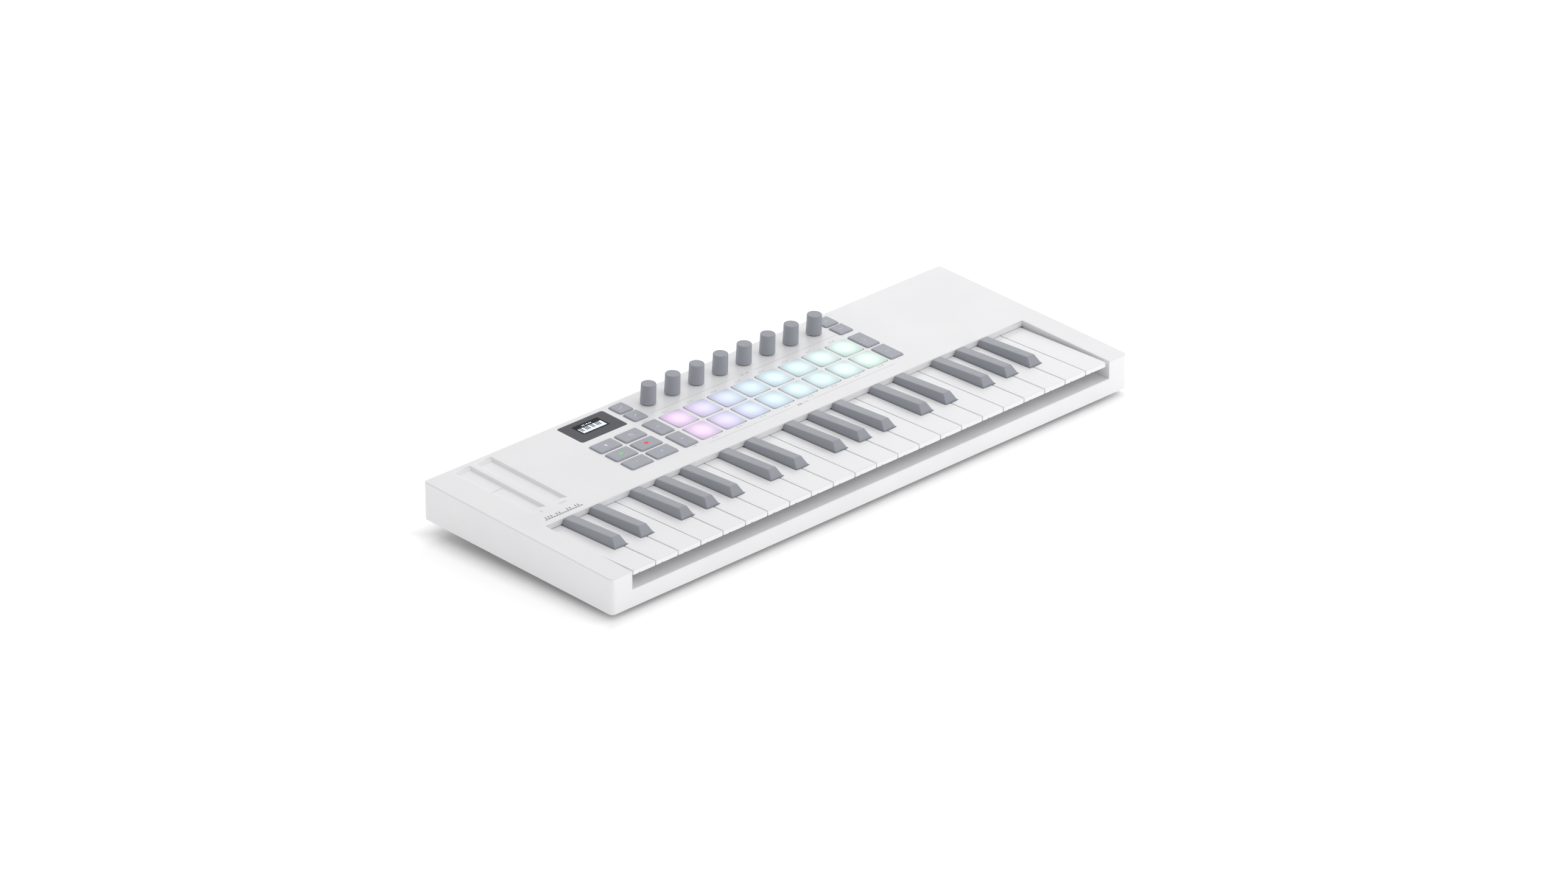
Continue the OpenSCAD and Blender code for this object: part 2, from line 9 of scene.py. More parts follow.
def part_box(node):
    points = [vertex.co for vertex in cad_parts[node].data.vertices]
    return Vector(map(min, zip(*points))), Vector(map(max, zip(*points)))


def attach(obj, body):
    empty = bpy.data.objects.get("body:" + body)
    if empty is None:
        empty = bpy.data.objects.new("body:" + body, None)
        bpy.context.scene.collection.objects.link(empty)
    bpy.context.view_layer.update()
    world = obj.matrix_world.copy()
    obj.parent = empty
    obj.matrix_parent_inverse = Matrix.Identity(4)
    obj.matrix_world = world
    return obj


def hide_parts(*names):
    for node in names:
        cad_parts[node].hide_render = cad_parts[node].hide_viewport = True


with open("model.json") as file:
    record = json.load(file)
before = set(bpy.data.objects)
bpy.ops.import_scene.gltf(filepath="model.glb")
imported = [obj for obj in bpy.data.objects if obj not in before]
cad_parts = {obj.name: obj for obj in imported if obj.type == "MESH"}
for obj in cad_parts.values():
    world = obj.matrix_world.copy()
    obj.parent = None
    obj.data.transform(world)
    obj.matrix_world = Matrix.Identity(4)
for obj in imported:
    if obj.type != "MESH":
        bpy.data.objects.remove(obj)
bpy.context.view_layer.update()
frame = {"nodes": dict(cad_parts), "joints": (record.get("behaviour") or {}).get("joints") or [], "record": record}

# ---------------------------------------------------------------------------
# Frame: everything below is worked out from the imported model. Shapes are drawn
# in millimetres in two frames of the case, and put in the row frame by PANEL
# or LOCAL. LOCAL: u from the left face, y from the front face, z from the table.
# PANEL: u from the left face, v up the sloped panel, n along its normal.
# ---------------------------------------------------------------------------
MM = 0.001
TOUCH = 0.03

joints = {joint["name"]: joint for joint in frame["joints"]}
mounts = {mount["name"]: mount for mount in frame["record"]["mounts"]}
case_low, case_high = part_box("top_case")
case_w = (case_high.x - case_low.x) / MM
case_d = (case_high.y - case_low.y) / MM

panel_n = Vector(joints["encoder_knob_1_turn"]["axis"]).normalized()
panel_u = Vector((1, 0, 0))
panel_v = panel_n.cross(panel_u)
front_top_z = case_high.z - case_d * MM * panel_v.z / panel_v.y

PANEL = Matrix((panel_u, panel_v, panel_n)).transposed().to_4x4()
PANEL.translation = (case_low.x, case_low.y, front_top_z)
PANEL = PANEL @ Matrix.Scale(MM, 4)
LOCAL = Matrix.Translation((case_low.x, case_low.y, 0)) @ Matrix.Scale(MM, 4)
TO_PANEL = PANEL.inverted()
TO_LOCAL = LOCAL.inverted()


def local_box(node):
    """A CAD node's lowest and highest corner, in LOCAL millimetres."""
    low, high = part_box(node)
    return TO_LOCAL @ low, TO_LOCAL @ high


def clean_bmesh(node, cuts=()):
    """A CAD node's mesh with its split vertices joined and its flat faces whole.

    Cuts are distances u at which flat faces stay divided, so that none has a hole.
    """
    bm = bmesh.new()
    bm.from_mesh(frame["nodes"][node].data)
    bmesh.ops.remove_doubles(bm, verts=bm.verts, dist=1e-6)
    for u in cuts:
        made = bmesh.ops.bisect_plane(
            bm, geom=bm.verts[:] + bm.edges[:] + bm.faces[:], dist=2e-5,
            plane_co=LOCAL @ Vector((u, 0, 0)), plane_no=(1, 0, 0),
        )
        for part in made["geom_cut"]:
            if isinstance(part, bmesh.types.BMEdge):
                part.seam = True
    bmesh.ops.dissolve_limit(
        bm, angle_limit=math.radians(0.4), verts=bm.verts, edges=bm.edges, delimit={"SEAM"}
    )
    bm.normal_update()
    return bm


def islands(faces):
    """Groups of faces that share vertices."""
    left, groups = set(faces), []
    while left:
        stack = [left.pop()]
        group = list(stack)
        while stack:
            for vertex in stack.pop().verts:
                for other in vertex.link_faces:
                    if other in left:
                        left.remove(other)
                        group.append(other)
                        stack.append(other)
        groups.append(group)
    return groups


def caps_of(node):
    """Every cap that stands over the panel on a soft mat: its middle, size and height."""
    bm = clean_bmesh(node)
    bm.transform(TO_PANEL)
    mat_top = sorted({round(v.co.z, 2) for v in bm.verts})[1]
    walls = [f for f in bm.faces if f.calc_center_median().z > mat_top + 0.5]
    caps = []
    for group in islands(walls):
        corners = [v.co for f in group for v in f.verts]
        low = Vector(map(min, zip(*corners)))
        high = Vector(map(max, zip(*corners)))
        middle = (low + high) / 2
        caps.append(
            {"at": (middle.x, middle.y), "size": (high.x - low.x, high.y - low.y), "top": high.z}
        )
    bm.free()
    return sorted(caps, key=lambda cap: (round(cap["at"][1]), cap["at"][0]))


# ---------------------------------------------------------------------------
# Camera
# ---------------------------------------------------------------------------
CAMERA_AZIMUTH = math.radians(-44.82)
CAMERA_ELEVATION = math.radians(25.80)
CAMERA_DISTANCE = 4.6195
CAMERA_LENS = 161.5
CAMERA_AIM = Vector((-0.0200, -0.0212, 0.0291))


def direction(azimuth, elevation):
    """Unit vector from the object towards a viewer or a lamp, in radians."""
    flat = math.cos(elevation)
    return Vector((math.sin(azimuth) * flat, -math.cos(azimuth) * flat, math.sin(elevation)))


def add_camera():
    data = bpy.data.cameras.new("photo_camera")
    data.sensor_width = 36
    data.lens = CAMERA_LENS
    data.clip_start = 0.05
    data.clip_end = 60
    camera = bpy.data.objects.new("photo_camera", data)
    bpy.context.scene.collection.objects.link(camera)
    back = direction(CAMERA_AZIMUTH, CAMERA_ELEVATION)
    camera.location = CAMERA_AIM + back * CAMERA_DISTANCE
    camera.rotation_mode = "QUATERNION"
    camera.rotation_quaternion = (-back).to_track_quat("-Z", "Y")
    bpy.context.scene.camera = camera


# ---------------------------------------------------------------------------
# Studio: pale floor with a painted glow that leaves painted shade round the object, a soft white surround and two
# soft lamps
# ---------------------------------------------------------------------------
SURROUND = 1.05
SURROUND_SLOPE = (0.36, 0.04, -0.34)
SURROUND_MOST = 1.22
SURROUND_KNEE = 0.2
# Painted glow of the floor, and where it starts and is full, in metres out from the footprint; without it the
# floor under and next to the object is painted shade
PAINTED_FLOOR_GLOW = 0.30
PAINTED_GLOW_START = -0.006
PAINTED_GLOW_FULL = 0.013


def add_world():
    """White surround: brighter from the object's right, dimmer overhead."""
    world = bpy.data.worlds.new("studio")
    world.use_nodes = True
    nodes, links = world.node_tree.nodes, world.node_tree.links
    where = nodes.new("ShaderNodeTexCoord")
    slope = nodes.new("ShaderNodeVectorMath")
    slope.operation = "DOT_PRODUCT"
    slope.inputs[1].default_value = SURROUND_SLOPE
    links.new(where.outputs["Generated"], slope.inputs[0])
    level = nodes.new("ShaderNodeMath")
    level.inputs[1].default_value = SURROUND
    links.new(slope.outputs["Value"], level.inputs[0])
    most = nodes.new("ShaderNodeMath")
    most.operation = "SMOOTH_MIN"
    most.inputs[1].default_value = SURROUND_MOST
    most.inputs[2].default_value = SURROUND_KNEE
    links.new(level.outputs["Value"], most.inputs[0])
    links.new(most.outputs["Value"], nodes["Background"].inputs["Strength"])
    nodes["Background"].inputs["Color"].default_value = (1, 1, 1, 1)
    bpy.context.scene.world = world


def add_lamp(name, azimuth, elevation, distance, size, power):
    """Square soft box that faces the object."""
    data = bpy.data.lights.new(name, "AREA")
    data.shape = "SQUARE"
    data.size = size
    data.energy = power
    lamp = bpy.data.objects.new(name, data)
    bpy.context.scene.collection.objects.link(lamp)
    away = direction(math.radians(azimuth), math.radians(elevation))
    lamp.location = away * distance
    lamp.rotation_mode = "QUATERNION"
    lamp.rotation_quaternion = (-away).to_track_quat("-Z", "Y")
    lamp.visible_glossy = False


def floor_paper_painted_shade():
    """White paper with a painted glow beyond the object's footprint that fades to none just inside it, so that a
    painted shadow lies under and round the object.
    """
    paper = bpy.data.materials.new("floor_paper_painted_shade")
    paper.use_nodes = True
    nodes, links = paper.node_tree.nodes, paper.node_tree.links
    shader = nodes["Principled BSDF"]
    where = nodes.new("ShaderNodeTexCoord")
    reach = nodes.new("ShaderNodeVectorMath")
    reach.operation = "ABSOLUTE"
    links.new(where.outputs["Object"], reach.inputs[0])
    past = nodes.new("ShaderNodeVectorMath")
    past.operation = "SUBTRACT"
    past.inputs[1].default_value = (case_w / 2 * MM, case_d / 2 * MM, 1)
    links.new(reach.outputs["Vector"], past.inputs[0])
    sides = nodes.new("ShaderNodeSeparateXYZ")
    links.new(past.outputs["Vector"], sides.inputs[0])
    distance = nodes.new("ShaderNodeMath")
    distance.operation = "MAXIMUM"
    links.new(sides.outputs["X"], distance.inputs[0])
    links.new(sides.outputs["Y"], distance.inputs[1])
    light = nodes.new("ShaderNodeMapRange")
    light.inputs["From Min"].default_value = PAINTED_GLOW_START
    light.inputs["From Max"].default_value = PAINTED_GLOW_FULL
    light.inputs["To Min"].default_value = 0.0
    light.inputs["To Max"].default_value = PAINTED_FLOOR_GLOW
    links.new(distance.outputs["Value"], light.inputs["Value"])
    # Painted light: the floor glows only away from the object, which paints a shadow under and beside it
    links.new(light.outputs["Result"], shader.inputs["Emission Strength"])
    shader.inputs["Base Color"].default_value = (0.95, 0.95, 0.95, 1)
    shader.inputs["Emission Color"].default_value = (1, 1, 1, 1)
    shader.inputs["Roughness"].default_value = 0.9
    shader.inputs["Specular IOR Level"].default_value = 0.1
    return paper


def add_floor():
    bm = bmesh.new()
    bmesh.ops.create_grid(bm, x_segments=8, y_segments=8, size=9)
    mesh = bpy.data.meshes.new("studio_floor")
    bm.to_mesh(mesh)
    bm.free()
    floor = bpy.data.objects.new("studio_floor", mesh)
    floor.location.z = -0.00005
    bpy.context.scene.collection.objects.link(floor)
    mesh.materials.append(floor_paper_painted_shade())


add_camera()
add_world()
add_lamp("key_lamp", 135, 30, 1.3, 0.26, 2.84)
add_lamp("side_lamp", 60, 35, 1.2, 0.8, 1.5)
add_floor()
bpy.context.scene.view_settings.view_transform = "Standard"


# ---------------------------------------------------------------------------
# Finishes
# ---------------------------------------------------------------------------
def new_finish(name):
    """An empty procedural material and what is needed to wire it."""
    finish = bpy.data.materials.new(name)
    finish.use_nodes = True
    nodes, links = finish.node_tree.nodes, finish.node_tree.links
    return finish, nodes, links, nodes["Principled BSDF"]


def add_noise(nodes, links, scale, detail=3.0, stretch=None):
    """Noise over the object's own coordinates, in features per metre."""
    where = nodes.new("ShaderNodeTexCoord")
    pattern = nodes.new("ShaderNodeTexNoise")
    pattern.inputs["Scale"].default_value = scale
    pattern.inputs["Detail"].default_value = detail
    source = where.outputs["Object"]
    if stretch:
        mapping = nodes.new("ShaderNodeMapping")
        mapping.inputs["Scale"].default_value = stretch
        links.new(source, mapping.inputs["Vector"])
        source = mapping.outputs["Vector"]
    links.new(source, pattern.inputs["Vector"])
    return pattern.outputs["Fac"]


def add_shades(nodes, links, factor, dark, light, low=0.35, high=0.65):
    """Colour that runs from dark to light with a factor."""
    ramp = nodes.new("ShaderNodeValToRGB")
    ramp.color_ramp.elements[0].position = low
    ramp.color_ramp.elements[0].color = (*dark, 1)
    ramp.color_ramp.elements[1].position = high
    ramp.color_ramp.elements[1].color = (*light, 1)
    links.new(factor, ramp.inputs["Fac"])
    return ramp.outputs["Color"]


def add_range(nodes, links, factor, low, high):
    """Factor mapped from 0.3..0.7 to low..high."""
    mapped = nodes.new("ShaderNodeMapRange")
    mapped.inputs["From Min"].default_value = 0.3
    mapped.inputs["From Max"].default_value = 0.7
    mapped.inputs["To Min"].default_value = low
    mapped.inputs["To Max"].default_value = high
    links.new(factor, mapped.inputs["Value"])
    return mapped.outputs["Result"]


def add_grain(nodes, links, shader, scale, depth, strength=1.0):
    """Fine moulded grain as a bump."""
    bump = nodes.new("ShaderNodeBump")
    bump.inputs["Strength"].default_value = strength
    bump.inputs["Distance"].default_value = depth
    links.new(add_noise(nodes, links, scale, 2.0), bump.inputs["Height"])
    links.new(bump.outputs["Normal"], shader.inputs["Normal"])


def scaled(colour, factor):
    return tuple(channel * factor for channel in colour)


def plastic(name, colour, roughness, grain_mm=0.35, grain_depth=4e-6, vary=0.015, coat=0.0, specular=0.5):
    """Moulded plastic: faint flow marks in its colour, uneven gloss and a fine grain."""
    finish, nodes, links, shader = new_finish(name)
    cloud = add_noise(nodes, links, 22, 4.0)
    links.new(
        add_shades(nodes, links, cloud, scaled(colour, 1 - vary), scaled(colour, 1 + vary)),
        shader.inputs["Base Color"],
    )
    gloss = add_noise(nodes, links, 140, 3.0)
    links.new(
        add_range(nodes, links, gloss, roughness * 0.88, roughness * 1.12), shader.inputs["Roughness"]
    )
    add_grain(nodes, links, shader, 1 / (grain_mm * MM), grain_depth)
    shader.inputs["Specular IOR Level"].default_value = specular
    shader.inputs["Coat Weight"].default_value = coat
    shader.inputs["Coat Roughness"].default_value = 0.12
    return finish


def metal(name, colour, roughness):
    """Brushed metal, with fine scratches along the case."""
    finish, nodes, links, shader = new_finish(name)
    scratch = add_noise(nodes, links, 900, 4.0, stretch=(0.15, 1, 1))
    links.new(
        add_shades(nodes, links, scratch, scaled(colour, 0.9), colour), shader.inputs["Base Color"]
    )
    links.new(
        add_range(nodes, links, scratch, roughness * 0.8, roughness * 1.25), shader.inputs["Roughness"]
    )
    shader.inputs["Metallic"].default_value = 1.0
    return finish


def glowing(name, colour, strength):
    """Lit print, a little uneven as a light guide is."""
    finish, nodes, links, shader = new_finish(name)
    cloud = add_noise(nodes, links, 900, 2.0)
    tint = add_shades(nodes, links, cloud, scaled(colour, 0.92), colour)
    links.new(tint, shader.inputs["Base Color"])
    links.new(tint, shader.inputs["Emission Color"])
    shader.inputs["Emission Strength"].default_value = strength
    shader.inputs["Roughness"].default_value = 0.5
    return finish


# Light through the pads, from the leftmost to the rightmost column
PAD_LIGHT = (
    (0.95, 0.70, 1.0), (0.78, 0.72, 1.0), (0.72, 0.80, 1.0), (0.72, 0.88, 0.99),
    (0.76, 0.94, 1.0), (0.75, 0.96, 0.98), (0.80, 0.98, 0.97), (0.79, 0.99, 0.88),
)


def pad_silicone(low_x, high_x):
    """Milky silicone lit from below: brightest in each pad's middle, tinted along the row."""
    finish, nodes, links, shader = new_finish("pad_silicone_lit")
    where = nodes.new("ShaderNodeTexCoord")
    place = nodes.new("ShaderNodeSeparateXYZ")
    links.new(where.outputs["Object"], place.inputs[0])
    along = nodes.new("ShaderNodeMapRange")
    along.inputs["From Min"].default_value = low_x
    along.inputs["From Max"].default_value = high_x
    links.new(place.outputs["X"], along.inputs["Value"])
    ramp = nodes.new("ShaderNodeValToRGB")
    ramp.color_ramp.interpolation = "LINEAR"
    stops = ramp.color_ramp.elements
    stops[0].color = (*PAD_LIGHT[0], 1)
    stops[1].color = (*PAD_LIGHT[-1], 1)
    for i, colour in enumerate(PAD_LIGHT[1:-1], start=1):
        stops.new(i / (len(PAD_LIGHT) - 1)).color = (*colour, 1)
    links.new(along.outputs["Result"], ramp.inputs["Fac"])

    # Distance from the middle of the pad, 0 to 1 at the middle of an edge
    plan = nodes.new("ShaderNodeUVMap")
    plan.uv_map = "plan"
    offset = nodes.new("ShaderNodeVectorMath")
    offset.operation = "DISTANCE"
    offset.inputs[1].default_value = (0.5, 0.5, 0)
    links.new(plan.outputs["UV"], offset.inputs[0])
    glow = nodes.new("ShaderNodeMapRange")
    glow.interpolation_type = "SMOOTHSTEP"
    glow.inputs["From Min"].default_value = 0.06
    glow.inputs["From Max"].default_value = 0.72
    glow.inputs["To Min"].default_value = 1
    glow.inputs["To Max"].default_value = 0
    links.new(offset.outputs["Value"], glow.inputs["Value"])

    body = nodes.new("ShaderNodeMix")
    body.data_type = "RGBA"
    body.blend_type = "MULTIPLY"
    body.inputs["Factor"].default_value = 0.8
    body.inputs["A"].default_value = (0.74, 0.75, 0.76, 1)
    links.new(ramp.outputs["Color"], body.inputs["B"])
    links.new(body.outputs["Result"], shader.inputs["Base Color"])
    links.new(ramp.outputs["Color"], shader.inputs["Emission Color"])
    power = nodes.new("ShaderNodeMapRange")
    power.inputs["To Min"].default_value = 0.0
    power.inputs["To Max"].default_value = 0.42
    links.new(glow.outputs["Result"], power.inputs["Value"])
    links.new(power.outputs["Result"], shader.inputs["Emission Strength"])
    shader.inputs["Roughness"].default_value = 0.55
    add_grain(nodes, links, shader, 2500, 5e-6)
    return finish


WHITE = (0.855, 0.855, 0.868)
case_white = plastic("case_white_moulded", WHITE, 0.46, specular=0.4)
base_white = plastic("base_white_moulded", scaled(WHITE, 0.8), 0.55, grain_mm=0.5, grain_depth=9e-6)
strip_white = plastic("strip_white_satin", scaled(WHITE, 1.0), 0.36, grain_mm=0.2)
white_gloss = plastic(
    "white_key_gloss_moulded", (0.875, 0.875, 0.888), 0.32, grain_depth=1e-7, vary=0.004, specular=0.35
)
key_grey = plastic("black_key_grey_satin", (0.335, 0.348, 0.385), 0.42, grain_mm=0.3, vary=0.02)
knob_grey = plastic("knob_grey_soft", (0.335, 0.345, 0.382), 0.55, grain_mm=0.22, vary=0.02)
button_grey = plastic("button_silicone_matt", (0.405, 0.418, 0.460), 0.62, grain_mm=0.25, vary=0.015)
frame_grey = plastic("frame_grey_moulded", (0.30, 0.31, 0.33), 0.55, vary=0.05)
socket_black = plastic("socket_black_moulded", (0.018, 0.018, 0.020), 0.42, vary=0.08)
foot_black = plastic(
    "foot_rubber_matt", (0.022, 0.022, 0.023), 0.8, grain_mm=0.3, grain_depth=2e-5, vary=0.1
)
dome_grey = plastic("contact_rubber_pale", (0.55, 0.55, 0.56), 0.7, vary=0.03)
board_green = plastic("board_green_lacquer", (0.010, 0.075, 0.035), 0.3, vary=0.25, coat=0.3)
print_grey = plastic("print_grey_ink", (0.30, 0.30, 0.315), 0.5, vary=0.03)
print_pale = plastic("print_pale_ink", (0.55, 0.55, 0.565), 0.5, vary=0.02)
icon_white = plastic("icon_white_ink", (0.80, 0.80, 0.81), 0.5, vary=0.02)
screw_steel = metal("screw_steel_zinc", (0.45, 0.45, 0.46), 0.35)
socket_steel = metal("socket_steel_bright", (0.62, 0.62, 0.63), 0.25)
play_green = glowing("play_icon_lit", (0.06, 0.80, 0.10), 0.22)
record_red = glowing("record_icon_lit", (0.85, 0.06, 0.08), 0.10)
screen_lit = glowing("screen_pixels_lit", (0.80, 0.90, 1.0), 0.5)
window_gloss = plastic(
    "window_gloss_tinted", (0.050, 0.052, 0.063), 0.25, grain_depth=0.5e-6, vary=0.04, specular=0.3
)
screen_black = plastic(
    "screen_black_gloss", (0.006, 0.006, 0.008), 0.2, grain_depth=0.5e-6, vary=0.05, specular=0.08
)


# ---------------------------------------------------------------------------
# Mesh tools
# ---------------------------------------------------------------------------
SHARP = math.radians(32)


def add_piece(name, bm, finish, body, replaces=(), flat=False):
    """Makes a piece of a mesh in the row frame; flat keeps its large faces flat-shaded."""
    bmesh.ops.recalc_face_normals(bm, faces=bm.faces)
    for face in bm.faces:
        face.smooth = True
    for edge in bm.edges:
        edge.smooth = not (len(edge.link_faces) == 2 and edge.calc_face_angle(0) > SHARP)
    mesh = bpy.data.meshes.new(name)
    bm.to_mesh(mesh)
    bm.free()
    mesh.materials.append(finish)
    obj = bpy.data.objects.new(name, mesh)
    bpy.context.scene.collection.objects.link(obj)
    if flat:
        keep_flat(obj)
    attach(obj, body)
    if replaces:
        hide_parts(*replaces)
    return obj


def keep_flat(obj):
    """Large faces keep their own normal, so that only the small ones round off."""
    weighted = obj.modifiers.new("flat_faces", "WEIGHTED_NORMAL")
    weighted.weight = 100
    weighted.keep_sharp = True
    weighted.thresh = 0.01


def rounded_copy(name, node, finish, body, radius_of, widest, segments=3, cuts=()):
    """A CAD node's shape with soft edges: radius_of gives an edge's radius in millimetres."""
    bm = clean_bmesh(node, cuts)
    weights = bm.edges.layers.float.new("bevel_weight_edge")
    for edge in bm.edges:
        if len(edge.link_faces) == 2 and edge.calc_face_angle_signed(0) > math.radians(25):
            edge[weights] = min(1.0, radius_of(edge) / widest)
    obj = add_piece(name, bm, finish, body, replaces=(node,))
    soft = obj.modifiers.new("soft_edges", "BEVEL")
    soft.limit_method = "WEIGHT"
    soft.width = widest * MM
    soft.segments = segments
    soft.use_clamp_overlap = False
    soft.loop_slide = False
    keep_flat(obj)
    return obj


def rounded_outline(width, depth, radius, steps=6):
    """Points round a rectangle with round corners, about its middle."""
    points = []
    for quarter, (sx, sy) in enumerate(((1, 1), (-1, 1), (-1, -1), (1, -1))):
        cx, cy = sx * (width / 2 - radius), sy * (depth / 2 - radius)
        for step in range(steps + 1):
            angle = math.pi / 2 * (quarter + step / steps)
            points.append((cx + radius * math.cos(angle), cy + radius * math.sin(angle)))
    return points


def circle_outline(radius, steps=32, x=0.0, y=0.0):
    turns = [2 * math.pi * i / steps for i in range(steps)]
    return [(x + radius * math.cos(a), y + radius * math.sin(a)) for a in turns]


def add_rings(bm, rings):
    """Skin over closed rings of points, each the next one's neighbour; returns the vertices."""
    made = [[bm.verts.new(point) for point in ring] for ring in rings]
    for lower, upper in zip(made, made[1:]):
        count = len(lower)
        for i in range(count):
            j = (i + 1) % count
            bm.faces.new((lower[i], lower[j], upper[j], upper[i]))
    return made


def add_prism(bm, outline, low, high):
    """Closed prism over an outline."""
    rings = add_rings(bm, [[(x, y, z) for x, y in outline] for z in (low, high)])
    bm.faces.new(rings[0][::-1])
    bm.faces.new(rings[1])


def add_tube(bm, outer, inner, low, high):
    """Closed ring between two outlines with the same number of points."""
    rings = add_rings(
        bm,
        [
            [(x, y, low) for x, y in outer], [(x, y, high) for x, y in outer],
            [(x, y, high) for x, y in inner], [(x, y, low) for x, y in inner],
            [(x, y, low) for x, y in outer],
        ],
    )
    bmesh.ops.remove_doubles(bm, verts=rings[0] + rings[-1], dist=1e-6)


def add_lathe(bm, profile, steps=64):
    """Solid of revolution about Z from (radius, height) points that start and end on the axis."""
    rings = []
    for radius, height in profile[1:-1]:
        rings.append([(x, y, height) for x, y in circle_outline(radius, steps)])
    made = add_rings(bm, rings)
    for ring, height in ((made[0], profile[0][1]), (made[-1], profile[-1][1])):
        tip = bm.verts.new((0, 0, height))
        for i in range(steps):
            bm.faces.new((ring[i], ring[(i + 1) % steps], tip))


def round_corner(radius, height, bend, steps, start, end):
    """Profile points round a corner of a lathe, about (radius, height), by angle in degrees."""
    turns = [math.radians(start + (end - start) * i / steps) for i in range(steps + 1)]
    return [(radius + bend * math.cos(a), height + bend * math.sin(a)) for a in turns]


def stroke(points, width):
    """Outline of a line of even width through points, with mitred corners."""
    left, right = [], []
    for i, (x, y) in enumerate(points):
        before = Vector(points[max(i - 1, 0)])
        after = Vector(points[min(i + 1, len(points) - 1)])
        here = Vector((x, y))
        into = (here - before).normalized() if i else (after - here).normalized()
        out = (after - here).normalized() if i < len(points) - 1 else into
        along = (into + out).normalized()
        side = Vector((-along.y, along.x))
        reach = width / 2 / max(side.dot(Vector((-into.y, into.x))), 0.2)
        left.append(tuple(here + side * reach))
        right.append(tuple(here - side * reach))
    return right + left[::-1]


def moved(outline, x, y):
    return [(px + x, py + y) for px, py in outline]


# ---------------------------------------------------------------------------
# Case shell
# ---------------------------------------------------------------------------
CASE_EDGE = 0.75
# Openings wholly in front of this line, up the panel, belong to the key well
KEY_WELL_LINE = 85
# Openings wholly to the left of this line belong to the touch strips
STRIP_LINE = 60
# Distance of each touch strip's middle from the outer side of its recess
STRIP_HALF = 7.6


def corner_radius(wall):
    """Radius of the case's upright corners at the front or rear wall, at a distance y."""
    points = [TO_LOCAL @ v.co for v in frame["nodes"]["top_case"].data.vertices]
    return min(p.x for p in points if abs(p.y - wall) < TOUCH / 20)


FRONT_CORNER, REAR_CORNER = corner_radius(0), corner_radius(case_d)


def plan_distance(x, y):
    """Distance of a point from the case's outline in plan, negative inside."""
    corner = FRONT_CORNER if y < case_d / 2 else REAR_CORNER
    dx = abs(x - case_w / 2) - (case_w / 2 - corner)
    dy = abs(y - case_d / 2) - (case_d / 2 - corner)
    outside = math.hypot(max(dx, 0), max(dy, 0))
    return outside + min(max(dx, dy), 0) - corner


def case_edge_radius(edge):
    """Radius of a case edge: large outside, small round the controls, none inside."""
    ends = [TO_PANEL @ vertex.co for vertex in edge.verts]
    plan = [TO_LOCAL @ vertex.co for vertex in edge.verts]
    on_top = all(abs(end.z) < TOUCH for end in ends)
    on_skin = all(abs(plan_distance(p.x, p.y)) < TOUCH for p in plan)
    if on_top and on_skin:
        return CASE_EDGE
    if on_skin:
        in_rear_wall = all(p.y > case_d - TOUCH and 12 < p.z < 34 for p in plan)
        return 0.25 if in_rear_wall else 0.6
    if on_top:
        beside_keys = all(end.y < KEY_WELL_LINE for end in ends)
        beside_strips = all(end.x < STRIP_LINE for end in ends)
        return 0.5 if beside_keys or beside_strips else 0.25
    return 0


pads = caps_of("pad_mat")
left_buttons = caps_of("left_button_mat")
right_buttons = caps_of("right_button_mat")


def case_cuts():
    """Distances u of cuts that between them cross every opening of the case's top and rear."""
    middles = {round(cap["at"][0], 1) for cap in pads + left_buttons + right_buttons}
    low, high = local_box("touch_strips")
    middles |= {round(low.x + STRIP_HALF, 1), round(high.x - STRIP_HALF, 1)}
    for name in ("usb_socket", "midi_jack", "lock_slot"):
        middles.add(round((TO_LOCAL @ Vector(mounts[name]["pos_m"])).x, 1))
    return sorted(middles)


rounded_copy(
    "case_shell", "top_case", case_white, "case", case_edge_radius, widest=CASE_EDGE,
    segments=4, cuts=case_cuts(),
)


# ---------------------------------------------------------------------------
# Keys
# ---------------------------------------------------------------------------
WHITE_KEYS = [name for name in frame["nodes"] if name.startswith("white_key_")]
BLACK_KEYS = [name for name in frame["nodes"] if name.startswith("black_key_")]
key_low, key_high = local_box(WHITE_KEYS[1])
KEY_FRONT, KEY_TOP = key_low.y, key_high.z
LIP_BOTTOM = min(
    (TO_LOCAL @ v.co).z
    for v in frame["nodes"][WHITE_KEYS[1]].data.vertices
    if (TO_LOCAL @ v.co).y < KEY_FRONT + TOUCH
)


def well_rear():
    """Distance from the front face to the key well's rear wall, from the top shell's mesh."""
    tops = [TO_PANEL @ v.co for v in frame["nodes"]["top_case"].data.vertices]
    inside = [p for p in tops if abs(p.z) < TOUCH and 12 < p.x < 24 and 60 < p.y < 95]
    return max(p.y for p in inside) * panel_v.y


WELL_REAR = well_rear()


def white_edge_radius(edge):
    """White key: round front lip, slightly soft sides, plain tail."""
    plan = [TO_LOCAL @ vertex.co for vertex in edge.verts]
    if any(p.y > WELL_REAR for p in plan) or all(p.z < LIP_BOTTOM + 1 for p in plan):
        return 0
    on_front = all(p.y < KEY_FRONT + TOUCH for p in plan)
    on_top = all(p.z > KEY_TOP - TOUCH for p in plan)
    return 0.7 if on_front and on_top else 0.4


def black_edge_radius(edge):
    """Black key: soft edges over the white keys, and a round rear end."""
    plan = [TO_LOCAL @ vertex.co for vertex in edge.verts]
    if all(p.z < KEY_TOP - TOUCH for p in plan):
        return 0
    if all(p.y > WELL_REAR - 2 and p.z > KEY_TOP + 2 for p in plan):
        return 1.2
    if any(p.z < KEY_TOP + 0.6 for p in plan):
        return 0.25
    return 0.6


for name in WHITE_KEYS:
    rounded_copy(
        "visible_" + name, name, white_gloss, name, white_edge_radius, widest=0.8
    )
for name in BLACK_KEYS:
    rounded_copy(
        "visible_" + name, name, key_grey, name, black_edge_radius, widest=1.2,
        segments=4,
    )


